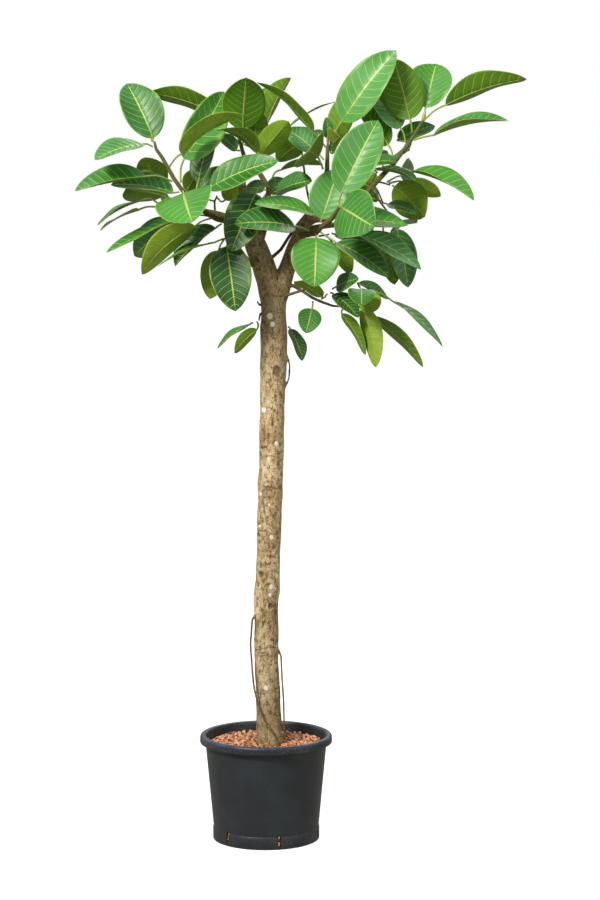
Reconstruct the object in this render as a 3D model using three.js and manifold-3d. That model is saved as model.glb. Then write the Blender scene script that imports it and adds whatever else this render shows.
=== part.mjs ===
// A rubber fig grown as a small standard tree: a bare woody stem with a forked crown of large oval leaves, standing in
// a round nursery pot that is topped with clay granules. Millimetres, +Z up, the origin under the middle of the pot.

import * as THREE from 'three';
import { mergeVertices } from 'three/addons/utils/BufferGeometryUtils.js';
import Module from 'manifold-3d';

const wasm = await Module();
wasm.setup();

// ---- driving dimensions ----

const RIM_DIAMETER = 300;
const POT_HEIGHT = 240;
const FOOT_DIAMETER = 242;
const WALL = 2.6;
const RIM_DEPTH = 18;
const FOOT_BAND = 28;
const DRAIN_SLOTS = 6;
const FIRST_SLOT_DEG = 15;
const GRANULE_TOP = 218;
const GRANULE_DEPTH = 13;
const PETIOLE_RADIUS = 2.2;
const BLADE_THICKNESS = 1.6;
const GAP = 0.35;

// Everything in the crown is set out as it looks to someone standing in front of the plant: x and z are read on the
// plant's middle plane, and y is how far in front of that plane (minus) or behind it the point then really lies.
const EYE = new THREE.Vector3(77, -6000, 1550);

function at([x, y, z]) {
  const reach = 1 - y / EYE.y;
  return new THREE.Vector3(EYE.x + (x - EYE.x) * reach, y, EYE.z + (z - EYE.z) * reach);
}

// ---- closed solids ----

function solidOf(geometry) {
  const bare = geometry.clone();
  bare.deleteAttribute('normal');
  bare.deleteAttribute('uv');
  const merged = mergeVertices(bare, 1e-4);
  return new wasm.Manifold(new wasm.Mesh({
    numProp: 3,
    vertProperties: new Float32Array(merged.attributes.position.array),
    triVerts: new Uint32Array(merged.index.array),
  }));
}

function geometryOf(solid) {
  const mesh = solid.getMesh();
  const geometry = new THREE.BufferGeometry();
  geometry.setAttribute('position', new THREE.BufferAttribute(mesh.vertProperties, 3));
  geometry.setIndex(new THREE.BufferAttribute(mesh.triVerts, 1));
  geometry.computeVertexNormals();
  return geometry;
}

// A skin over rings that all have the same number of points, closed by one pole at each end.
function skin(firstPole, rings, lastPole) {
  const points = [firstPole, ...rings.flat(), lastPole];
  const sides = rings[0].length;
  const last = points.length - 1;
  const faces = [];
  for (let k = 0; k < sides; k += 1) {
    const next = (k + 1) % sides;
    faces.push(0, 1 + next, 1 + k);
    for (let r = 0; r + 1 < rings.length; r += 1) {
      const low = 1 + r * sides;
      const high = low + sides;
      faces.push(low + k, low + next, high + next, low + k, high + next, high + k);
    }
    const top = 1 + (rings.length - 1) * sides;
    faces.push(last, top + k, top + next);
  }
  const geometry = new THREE.BufferGeometry();
  geometry.setAttribute('position', new THREE.Float32BufferAttribute(points.flatMap((p) => p.toArray()), 3));
  geometry.setIndex(faces);
  geometry.computeVertexNormals();
  return geometry;
}

// The direction that `side` takes when the line it stands on turns from `from` to `to`.
function turned(side, from, to) {
  const turn = new THREE.Quaternion().setFromUnitVectors(from, to);
  return side.clone().applyQuaternion(turn);
}

// A round limb along hand-set stations [x, y, z, radius], with flat ends.
function limb(stations, sides, spare = 0) {
  const line = stations.map(at);
  const rings = [];
  let heading = line[1].clone().sub(line[0]).normalize();
  let side = new THREE.Vector3(0, 1, 0).cross(heading).normalize();
  line.forEach((point, i) => {
    const before = line[Math.max(i - 1, 0)];
    const after = line[Math.min(i + 1, line.length - 1)];
    const next = after.clone().sub(before).normalize();
    side = turned(side, heading, next);
    heading = next;
    const across = heading.clone().cross(side);
    const radius = stations[i][3] + spare;
    rings.push(Array.from({ length: sides }, (_, k) => {
      const angle = (2 * Math.PI * k) / sides;
      return point.clone().addScaledVector(side, radius * Math.cos(angle))
        .addScaledVector(across, radius * Math.sin(angle));
    }));
  });
  return skin(line[0], rings, line[line.length - 1]);
}

// ---- the pot and what fills it ----

function turnedUp(profile, segments) {
  const outline = profile.map(([radius, height]) => new THREE.Vector2(radius, height));
  return new THREE.LatheGeometry(outline, segments).rotateX(Math.PI / 2);
}

const RIM_RADIUS = RIM_DIAMETER / 2;
const FOOT_RADIUS = FOOT_DIAMETER / 2;
const NECK_RADIUS = RIM_RADIUS - 11.5;
const POT_SEGMENTS = 32;
const FLOOR = 4;
const FLOOR_TOP = FLOOR + WALL;
const PAD_RADIUS = 30;

function innerRadius(height) {
  const share = (height - FOOT_BAND) / (POT_HEIGHT - FOOT_BAND);
  return FOOT_RADIUS - 1.5 - WALL + (NECK_RADIUS - FOOT_RADIUS + 1.5) * share;
}

function drainSlot(degrees) {
  const slot = new THREE.BoxGeometry(20, 8, 23).translate(FOOT_RADIUS, 0, FLOOR_TOP + 13);
  return slot.rotateZ(THREE.MathUtils.degToRad(degrees));
}

function pot() {
  const skirt = POT_HEIGHT - RIM_DEPTH;
  const shell = turnedUp([
    [0, 0], [PAD_RADIUS, 0], [PAD_RADIUS + 4, FLOOR], [FOOT_RADIUS - 24, FLOOR], [FOOT_RADIUS - 20, 0],
    [FOOT_RADIUS - 1, 0], [FOOT_RADIUS, 2], [FOOT_RADIUS, FOOT_BAND], [FOOT_RADIUS - 1.5, FOOT_BAND + 1],
    [NECK_RADIUS - 0.8, skirt], [NECK_RADIUS, POT_HEIGHT - 4], [RIM_RADIUS - 4, POT_HEIGHT - 4],
    [RIM_RADIUS - 3, skirt], [RIM_RADIUS - 0.6, skirt], [RIM_RADIUS, skirt + 3], [RIM_RADIUS - 0.5, POT_HEIGHT - 5],
    [RIM_RADIUS - 3, POT_HEIGHT - 1], [RIM_RADIUS - 6, POT_HEIGHT], [NECK_RADIUS + 1, POT_HEIGHT],
    [NECK_RADIUS - WALL, POT_HEIGHT - 4], [innerRadius(FOOT_BAND), FOOT_BAND],
    [FOOT_RADIUS - WALL, FOOT_BAND - 4], [FOOT_RADIUS - WALL, FLOOR_TOP], [0, FLOOR_TOP],
  ], POT_SEGMENTS);
  let solid = solidOf(shell);
  for (let k = 0; k < DRAIN_SLOTS; k += 1) {
    solid = solid.subtract(solidOf(drainSlot(-90 + FIRST_SLOT_DEG + (360 * k) / DRAIN_SLOTS)));
  }
  return geometryOf(solid);
}

const MIX_TOP = GRANULE_TOP - GRANULE_DEPTH;
const FILL_SPARE = 1.1;

function pottingMix() {
  const solid = solidOf(turnedUp([
    [0, FLOOR_TOP + GAP], [FOOT_RADIUS - WALL - FILL_SPARE, FLOOR_TOP + GAP],
    [FOOT_RADIUS - WALL - FILL_SPARE, FOOT_BAND - 5], [innerRadius(FOOT_BAND) - FILL_SPARE, FOOT_BAND],
    [innerRadius(MIX_TOP) - FILL_SPARE, MIX_TOP], [0, MIX_TOP],
  ], POT_SEGMENTS));
  return geometryOf(solid.subtract(woodInTheMix(GAP)));
}

// The top dressing: one loose layer whose upper side is lumpy with the granules.
function clayGranules() {
  const rings = [0, 0.35, 0.6, 0.8, 0.93, 1].map((share) => share * (innerRadius(GRANULE_TOP) - FILL_SPARE));
  const low = MIX_TOP + GAP;
  const edge = innerRadius(low) - FILL_SPARE;
  const layer = turnedUp([[0, low], [edge, low], ...rings.reverse().map((r) => [r, GRANULE_TOP])], 28);
  const position = layer.attributes.position;
  for (let i = 0; i < position.count; i += 1) {
    if (position.getZ(i) > GRANULE_TOP - 1) {
      const lump = Math.sin(0.31 * position.getX(i)) * Math.cos(0.27 * position.getY(i));
      position.setZ(i, GRANULE_TOP + 3 * lump);
    }
  }
  return geometryOf(solidOf(layer).subtract(woodInTheMix(GAP)));
}

// ---- the woody plant: stem, limbs, shoots and aerial roots, grown as one ----

const STEM = [
  [11, 0, 95, 26], [10, 0, 150, 29], [9, 0, 215, 30], [5, 2, 320, 28.5], [1, 4, 444, 27.5], [1.5, 6, 546, 28.5],
  [5, 6, 621, 28], [9, 4, 753, 28.5], [13, 1, 888, 28], [16, -2, 1031, 28.5], [18, -3, 1100, 31], [18, -3, 1135, 31.5],
  [18, -3, 1180, 29], [18.5, -2, 1222, 29.5], [20, 0, 1262, 27],
];

const LIMBS = {
  left: [[14, -1, 1225, 26], [6, -3, 1265, 27], [-6, -6, 1305, 26.5], [-24, -9, 1352, 24], [-38, -12, 1402, 17],
    [-46, -15, 1445, 12], [-51, -18, 1482, 9]],
  right: [[27, 1, 1230, 24], [40, 3, 1270, 21], [52, 5, 1305, 19], [68, 8, 1350, 17], [88, 10, 1395, 13.5]],
};

const SHOOTS = {
  farLeft: [[-36, -12, 1396, 9], [-74, -22, 1396, 8], [-109, -28, 1405, 6.5], [-137, -34, 1421, 6],
    [-175, -42, 1455, 5.5], [-203, -49, 1494, 5], [-228, -56, 1539, 4.5], [-242, -60, 1559, 4], [-246, -62, 1576, 3]],
  crownLeft: [[-14, -6, 1345, 10], [-4, 2, 1380, 8.5], [3, 6, 1415, 7.5], [8, 8, 1472, 7], [-12, 4, 1504, 6.5],
    [-47, 0, 1542, 5.5], [-60, -2, 1588, 4]],
  centre: [[86, 10, 1390, 10], [110, 20, 1440, 7.5], [130, 28, 1490, 6.5], [137, 30, 1510, 6], [138, 32, 1557, 4.5],
    [139, 33, 1574, 3]],
  right: [[84, 9, 1388, 11], [112, 13, 1404, 9], [144, 15, 1404, 8], [190, 18, 1440, 7], [227, 20, 1464, 6.5],
    [259, 22, 1500, 6], [285, 24, 1527, 5.5], [321, 26, 1575, 5], [350, 28, 1622, 4]],
  rightTwig: [[236, 20, 1474, 4], [246, 16, 1466, 3.2], [252, 10, 1446, 3], [264, 6, 1430, 2.6], [275, 4, 1416, 2]],
  front: [[70, -2, 1366, 9], [92, -24, 1370, 8], [112, -45, 1373, 7], [125, -68, 1387, 6.5], [147, -95, 1404, 6],
    [165, -114, 1431, 4.5]],
  lowInner: [[30, -10, 1228, 6], [51, -26, 1236, 4], [81, -36, 1245, 3.2], [103, -42, 1253, 2.6]],
  lowOuter: [[38, 4, 1262, 7], [64, -6, 1255, 4.5], [84, -12, 1243, 4], [105, -18, 1229, 3.8], [125, -24, 1220, 3.6],
    [150, -29, 1211, 3.2], [178, -32, 1209, 2.6]],
  stub: [[-14, -12, 1290, 6], [-30, -28, 1302, 5], [-48, -48, 1326, 4], [-62, -64, 1346, 3.5]],
  behindLeft: [[-36, -4, 1390, 9], [-66, 34, 1404, 7], [-104, 68, 1416, 6], [-150, 92, 1426, 5], [-192, 104, 1432, 3.5]],
  behindMiddle: [[4, 6, 1312, 6], [16, 18, 1320, 4.4], [34, 30, 1336, 4], [52, 44, 1364, 4], [72, 78, 1392, 4],
    [96, 120, 1422, 3.8], [120, 160, 1456, 3]],
  behindRight: [[78, 12, 1376, 10], [112, 44, 1386, 7], [160, 78, 1392, 6], [214, 100, 1396, 5], [262, 106, 1394, 3.5]],
  sprout: [[-2, -12, 1198, 5], [-12, -24, 1192, 3], [-15, -30, 1178, 2.2]],
  deadStub: [[-2, -14, 1212, 5], [-14, -22, 1214, 3], [-19, -25, 1222, 2]],
  backSprout: [[30, 16, 1176, 5], [42, 22, 1170, 3], [47, 24, 1165, 2.2]],
};

// Thin roots that leave the bark, hang down the stem and go into the granules.
const AERIAL_ROOTS = {
  left: [[-22, -8, 520, 4], [-31, -12, 500, 3], [-35, -16, 445, 2.8], [-31, -20, 385, 2.8], [-27, -24, 345, 2.8],
    [-18, -29, 305, 2.8], [-4, -33, 272, 2.8], [14, -34, 246, 2.8], [27, -33, 222, 3], [33, -32, 200, 3]],
  right: [[26, -8, 440, 4], [34, -10, 418, 2.8], [36, -10, 375, 2.6], [40, -8, 310, 2.6], [41, -8, 255, 2.6],
    [41, -8, 200, 2.8]],
  upper: [[40, 2, 1110, 4], [50, 2, 1098, 2.4], [54, 2, 1078, 2.4], [53, 2, 1052, 2.4], [46, 2, 1030, 2.4],
    [36, 2, 1018, 4]],
};

const STEM_SIDES = 12;
const SHOOT_SIDES = 6;
const ROOT_SIDES = 5;

function joined(parts) {
  return parts.reduce((whole, part) => whole.add(part));
}

function woodInTheMix(spare) {
  return joined([
    solidOf(limb(STEM.slice(0, 6), STEM_SIDES, spare)),
    solidOf(limb(AERIAL_ROOTS.left, ROOT_SIDES, spare)),
    solidOf(limb(AERIAL_ROOTS.right, ROOT_SIDES, spare)),
  ]);
}

function trunkAndBranches() {
  return geometryOf(joined([
    solidOf(limb(STEM, STEM_SIDES)),
    ...Object.values(LIMBS).map((line) => solidOf(limb(line, STEM_SIDES - 2))),
    ...Object.values(SHOOTS).map((line) => solidOf(limb(line, SHOOT_SIDES))),
    ...Object.values(AERIAL_ROOTS).map((line) => solidOf(limb(line, ROOT_SIDES))),
  ]));
}

// How far a point stands off the nearest wood.
function offTheWood(point) {
  const lines = [STEM, ...Object.values(LIMBS), ...Object.values(SHOOTS)];
  let nearest = Infinity;
  lines.forEach((stations) => stations.slice(1).forEach((end, i) => {
    const start = stations[i];
    const segment = new THREE.Line3(at(start), at(end));
    const share = segment.closestPointToPointParameter(point, true);
    const radius = start[3] + (end[3] - start[3]) * share;
    nearest = Math.min(nearest, segment.at(share, new THREE.Vector3()).distanceTo(point) - radius);
  }));
  return nearest;
}

// ---- leaves ----

// Half width of a blade along its midrib, as shares of its length and of its greatest half width.
const OUTLINE = [[0.05, 0.38], [0.16, 0.76], [0.34, 0.99], [0.56, 0.97], [0.76, 0.73], [0.91, 0.34]];
const PETIOLE_STEPS = [0.1, 0.55, 1];

// The stretch of a petiole from its foot to the blade, bending into the midrib.
function petioleCurve(foot, base, along) {
  const reach = base.distanceTo(foot);
  const bend = base.clone().addScaledVector(along, -0.45 * reach);
  return new THREE.QuadraticBezierCurve3(foot, bend, base);
}

function standingOff(foot, base, along) {
  const curve = petioleCurve(foot, base, along);
  let share = 0;
  while (share < 0.9 && offTheWood(curve.getPoint(share)) < PETIOLE_RADIUS + GAP) share += 0.02;
  return curve.getPoint(share);
}

// One leaf. `roll` turns it about its midrib: at 0 its upper side faces the front, at 90 it lies edge-on with the
// upper side up, at 180 it shows its underside. `fold` lifts both halves, in degrees, and `bow` arches the midrib.
function leaf({ foot, base, tip, width, roll = 0, fold = 14, bow = 0.06 }, onTheWood = true) {
  const start = at(base);
  const end = at(tip);
  const along = end.clone().sub(start).normalize();
  const length = end.distanceTo(start);
  const front = new THREE.Vector3(0, -1, 0);
  const facing = front.addScaledVector(along, -front.dot(along)).normalize();
  const rising = along.clone().cross(facing);
  if (rising.z < 0) rising.negate();
  const angle = THREE.MathUtils.degToRad(roll);
  const up = facing.multiplyScalar(Math.cos(angle)).addScaledVector(rising, Math.sin(angle));
  const lift = THREE.MathUtils.degToRad(fold);
  const root = onTheWood ? standingOff(at(foot), start, along) : at(foot);
  const curve = petioleCurve(root, start, along);

  const ring = (centre, top, side, half, thick, raised) => [
    centre.clone().addScaledVector(side, -half * Math.cos(raised)).addScaledVector(top, half * Math.sin(raised)),
    centre.clone().addScaledVector(top, thick / 2),
    centre.clone().addScaledVector(side, half * Math.cos(raised)).addScaledVector(top, half * Math.sin(raised)),
    centre.clone().addScaledVector(top, -thick / 2),
  ];
  const stalk = PETIOLE_STEPS.map((share) => {
    const heading = curve.getTangent(share);
    const top = turned(up, along, heading);
    const radius = PETIOLE_RADIUS * (1.15 - 0.15 * share);
    return ring(curve.getPoint(share), top, heading.clone().cross(top), radius, 2 * radius, 0);
  });
  const blade = OUTLINE.map(([share, half]) => {
    const arch = 4 * share * (1 - share) * bow * length;
    const centre = start.clone().addScaledVector(along, share * length).addScaledVector(up, arch);
    return ring(centre, up, along.clone().cross(up), (half * width) / 2, BLADE_THICKNESS, lift);
  });
  return skin(root, [...stalk, ...blade], end);
}

// Each leaf: foot of the petiole on the wood, base of the blade, tip, greatest width, and how it is turned.
const LEAVES = {
  far_left_top: { foot: [-246, -62, 1570], base: [-248, -64, 1583], tip: [-306, 0, 1703], width: 100, roll: 18, fold: 24 },
  far_left_rear: { foot: [-52, -2, 1582], base: [-95, 34, 1630], tip: [-259, 26, 1683], width: 78, roll: 125 },
  far_left_out: { foot: [-243, -60, 1558], base: [-272, -74, 1570], tip: [-378, -140, 1535], width: 84, roll: 62 },
  left_arching: { foot: [-215, -52, 1513], base: [-186, -78, 1549], tip: [-44, -128, 1634], width: 84, roll: 112, bow: 0.12 },
  left_upright: { foot: [-186, -44, 1478], base: [-180, -42, 1537], tip: [-91, 18, 1685], width: 94, roll: -18, fold: 20 },
  left_long: { foot: [-207, -50, 1487], base: [-266, -84, 1499], tip: [-423, -124, 1467], width: 84, roll: 62, fold: 30, bow: 0.02 },
  left_under: { foot: [-188, -45, 1466], base: [-204, -50, 1463], tip: [-343, -62, 1480], width: 84, roll: 58, fold: 22 },
  left_forward: { foot: [-183, -44, 1466], base: [-182, -70, 1462], tip: [-163, -232, 1397], width: 134, fold: 6 },
  left_across: { foot: [-134, -34, 1419], base: [-124, -72, 1473], tip: [29, -112, 1533], width: 84, roll: 44 },
  left_dark: { foot: [-155, -38, 1437], base: [-149, -20, 1486], tip: [-110, 18, 1600], width: 66, roll: 42 },
  low_left_light: { foot: [-104, -26, 1403], base: [-195, -20, 1407], tip: [-354, -62, 1330], width: 74, roll: 74, bow: 0.01 },
  low_left_curled: { foot: [-112, -29, 1406], base: [-156, -66, 1389], tip: [-276, -86, 1281], width: 86, roll: 132, bow: 0.1 },
  low_left_inner: { foot: [-84, -23, 1398], base: [-110, -20, 1385], tip: [-202, -34, 1300], width: 78, roll: 56, fold: 28 },
  low_left_hanging: { foot: [-62, -64, 1346], base: [-86, -78, 1344], tip: [-67, -114, 1199], width: 96, roll: 4 },
  crown_broad: { foot: [-56, -1, 1572], base: [-50, -6, 1602], tip: [-42, -72, 1716], width: 98, roll: 176, fold: 8 },
  crown_folded: { foot: [-12, 5, 1506], base: [2, 46, 1612], tip: [56, 88, 1716], width: 66, roll: 132, fold: 30 },
  crown_olive: { foot: [-10, 4, 1502], base: [-11, -6, 1545], tip: [52, -60, 1620], width: 62, roll: 168, fold: 20 },
  crown_bent: { foot: [-30, 2, 1524], base: [-18, -24, 1550], tip: [-106, -78, 1600], width: 64, roll: 116, bow: 0.16 },
  middle_mottled: { foot: [8, 5, 1475], base: [-22, -34, 1461], tip: [-76, -106, 1332], width: 90, roll: 6 },
  centre_long: { foot: [138, 32, 1555], base: [105, 10, 1597], tip: [-18, -34, 1706], width: 76, roll: 106 },
  centre_blue: { foot: [134, 29, 1526], base: [114, 34, 1552], tip: [42, 70, 1604], width: 72, roll: 42 },
  centre_underside: { foot: [133, 29, 1500], base: [117, 12, 1541], tip: [96, -128, 1556], width: 98, roll: 175, fold: 10 },
  top_glossy: { foot: [139, 32, 1568], base: [170, 14, 1619], tip: [289, 2, 1775], width: 100, roll: 26 },
  front_round: { foot: [112, -46, 1373], base: [113, -62, 1363], tip: [109, -112, 1253], width: 110, fold: 8 },
  front_left: { foot: [104, -36, 1372], base: [66, -62, 1388], tip: [-68, -126, 1393], width: 88, roll: 52 },
  front_slim: { foot: [127, -70, 1388], base: [106, -72, 1415], tip: [-24, -98, 1438], width: 78, roll: 66 },
  front_gloss: { foot: [127, -70, 1389], base: [125, -80, 1404], tip: [162, -48, 1514], width: 92, roll: 2 },
  front_upright: { foot: [165, -114, 1431], base: [169, -118, 1462], tip: [250, -82, 1622], width: 106, roll: 12, fold: 22 },
  front_forward: { foot: [163, -111, 1428], base: [169, -124, 1431], tip: [243, -238, 1386], width: 116, fold: 6 },
  front_yellow: { foot: [140, -86, 1398], base: [158, -78, 1394], tip: [316, -72, 1391], width: 92, roll: 62 },
  front_low: { foot: [145, -92, 1403], base: [207, -128, 1370], tip: [347, -152, 1292], width: 86, roll: 64 },
  front_lowest: { foot: [118, -56, 1378], base: [158, -94, 1352], tip: [275, -122, 1275], width: 84, roll: 56 },
  right_dark: { foot: [326, 26, 1584], base: [321, 20, 1624], tip: [284, 20, 1757], width: 96, roll: 178, fold: 8 },
  right_top: { foot: [348, 28, 1618], base: [355, 34, 1650], tip: [378, 100, 1746], width: 108, roll: 10, fold: 26 },
  far_right_top: { foot: [342, 27, 1608], base: [399, 8, 1656], tip: [578, -14, 1713], width: 84, roll: 128, fold: 26 },
  far_right: { foot: [322, 26, 1576], base: [373, -4, 1590], tip: [539, -44, 1621], width: 76, roll: 78, fold: 26 },
  right_blue: { foot: [309, 25, 1560], base: [300, 34, 1605], tip: [225, 50, 1690], width: 74, roll: 38 },
  right_shade: { foot: [284, 24, 1526], base: [273, 42, 1568], tip: [205, 70, 1660], width: 70, roll: 140 },
  low_round: { foot: [105, -18, 1229], base: [104, -26, 1205], tip: [90, -62, 1150], width: 54, roll: 2, fold: 8 },
  stem_right: { foot: [47, 24, 1165], base: [55, 28, 1160], tip: [82, 8, 1088], width: 48, roll: 52 },
  right_hanging: { foot: [266, 22, 1507], base: [328, 4, 1510], tip: [464, -58, 1446], width: 78, roll: 64, fold: 28 },
};

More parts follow.
